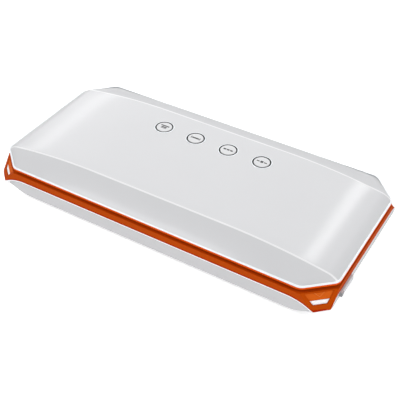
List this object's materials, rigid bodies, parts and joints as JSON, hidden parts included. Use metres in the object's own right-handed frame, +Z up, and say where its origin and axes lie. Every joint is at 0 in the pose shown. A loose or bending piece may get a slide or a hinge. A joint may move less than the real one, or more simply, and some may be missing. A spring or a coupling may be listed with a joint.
{
  "type": "vacuum sealer",
  "caption": "Low countertop vacuum bag sealer with a hinged arched lid, touch keys near its rear edge, a coloured frame with slotted corner ears and a rounded base.",
  "frame": {"origin": "on the table, under the centre of the machine's bounding box", "axes": "+X along the machine's length to its right end, +Y from the front edge to the hinge at the rear, +Z up"},
  "size_m": [0.366, 0.1756, 0.0549],
  "materials": {
    "white_gloss": "moulded, semi-gloss",
    "orange_plastic": "moulded, satin",
    "deck_white": "moulded, fine texture",
    "key_white": "gloss",
    "ring_grey": "gloss",
    "button_grey": "satin",
    "gasket_rubber": "closed-cell foam",
    "silicone": "silicone, satin",
    "foot_rubber": "matte",
    "steel": "zinc plated",
    "aluminium": "extruded",
    "tape": "coated glass cloth",
    "board_green": "laminate",
    "black_plastic": "moulded",
    "winding": "enamelled copper",
    "hose_rubber": "silicone"
  },
  "bodies": {
    "base": {"hinge_pins": "steel", "base_frame": "orange_plastic", "base_shell": "white_gloss", "deck": "deck_white", "lower_gasket": "gasket_rubber", "heater_bar": "aluminium", "heating_strip": "steel", "heater_tape": "tape", "release_spring_left": "steel", "release_spring_right": "steel", "pump_motor": "steel", "vacuum_pump": "black_plastic", "vacuum_hose": "hose_rubber", "transformer_core": "steel", "transformer_coil": "winding", "power_board": "board_green", "board_components": "black_plastic", "lid_switch": "black_plastic", "power_inlet": "black_plastic", "base_screws": "steel", "feet": "foot_rubber"},
    "lid": {"lid_shell": "white_gloss", "lid_lower_cover": "orange_plastic", "upper_gasket": "gasket_rubber", "press_strip": "silicone", "lid_catches": "orange_plastic", "key_board": "board_green", "board_screws": "steel", "tact_switches": "black_plastic", "key_rings": "ring_grey", "lid_screws": "steel"},
    "key_vacuum_seal_body": {"key_vacuum_seal": "key_white"},
    "key_seal_body": {"key_seal": "key_white"},
    "key_pulse_body": {"key_pulse": "key_white"},
    "key_stop_body": {"key_stop": "key_white"},
    "release_left": {"latch_slide_left": "black_plastic", "release_button_left": "button_grey"},
    "release_right": {"latch_slide_right": "black_plastic", "release_button_right": "button_grey"}
  },
  "joints": [
    {"name": "lid_hinge", "type": "hinge", "parent": "base", "child": "lid", "pos_m": [0, 0.0855, 0.0362], "axis": [-1, 0, 0], "range_deg": [0, 88]},
    {"name": "press_vacuum_seal", "type": "slide", "parent": "lid", "child": "key_vacuum_seal_body", "axis": [0, 0, -1], "range_m": [0, 0.0008], "stiffness_N_per_m": 500, "springref_m": -0.0004},
    {"name": "press_seal", "type": "slide", "parent": "lid", "child": "key_seal_body", "axis": [0, 0, -1], "range_m": [0, 0.0008], "stiffness_N_per_m": 500, "springref_m": -0.0004},
    {"name": "press_pulse", "type": "slide", "parent": "lid", "child": "key_pulse_body", "axis": [0, 0, -1], "range_m": [0, 0.0008], "stiffness_N_per_m": 500, "springref_m": -0.0004},
    {"name": "press_stop", "type": "slide", "parent": "lid", "child": "key_stop_body", "axis": [0, 0, -1], "range_m": [0, 0.0008], "stiffness_N_per_m": 500, "springref_m": -0.0004},
    {"name": "release_left", "type": "slide", "parent": "base", "child": "release_left", "axis": [1, 0, 0], "range_m": [0, 0.0022], "stiffness_N_per_m": 600, "springref_m": -0.001, "deforming": ["release_spring_left"]},
    {"name": "release_right", "type": "slide", "parent": "base", "child": "release_right", "axis": [-1, 0, 0], "range_m": [0, 0.0022], "stiffness_N_per_m": 600, "springref_m": -0.001, "deforming": ["release_spring_right"]}
  ]
}
